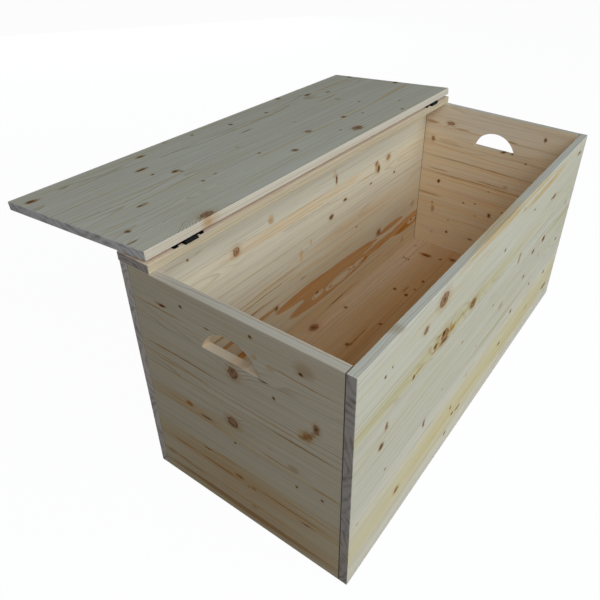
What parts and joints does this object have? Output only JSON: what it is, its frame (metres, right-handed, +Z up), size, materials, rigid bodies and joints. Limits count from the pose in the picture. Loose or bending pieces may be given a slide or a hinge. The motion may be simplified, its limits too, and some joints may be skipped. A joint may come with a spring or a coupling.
{
  "type": "wooden toy box",
  "caption": "Long pine chest with a thrown-back lid on two steel hinges, a fixed rail along the back, half-moon hand holes in its sides and a raised bottom panel.",
  "frame": {"origin": "centre of the box's footprint on the floor", "axes": "+X along the box towards its right end, +Y towards the back with the hinge rail, +Z up"},
  "size_m": [1.1, 0.8057, 0.5548],
  "materials": {
    "pine": "raw edge-glued softwood, sanded, with knots",
    "spline_wood": "raw sawn hardwood",
    "black_steel": "satin black coating",
    "black_screws": "black coated steel"
  },
  "bodies": {
    "box": {"front_panel": "pine", "back_panel": "pine", "left_side_panel": "pine", "right_side_panel": "pine", "bottom_panel": "pine", "hinge_rail": "pine", "front_left_spline": "spline_wood", "back_left_spline": "spline_wood", "front_right_spline": "spline_wood", "back_right_spline": "spline_wood", "rail_spline": "spline_wood", "left_hinge_rail_leaf": "black_steel", "left_hinge_pin": "black_steel", "right_hinge_rail_leaf": "black_steel", "right_hinge_pin": "black_steel", "left_rail_screws": "black_screws", "right_rail_screws": "black_screws"},
    "lid_body": {"lid": "pine", "left_hinge_lid_leaf": "black_steel", "right_hinge_lid_leaf": "black_steel", "left_lid_screws": "black_screws", "right_lid_screws": "black_screws"}
  },
  "joints": [
    {"name": "lid_hinge", "type": "hinge", "parent": "box", "child": "lid_body", "pos_m": [0, 0.1646, 0.5338], "axis": [1, 0, 0], "range_deg": [0, 185.27]}
  ]
}
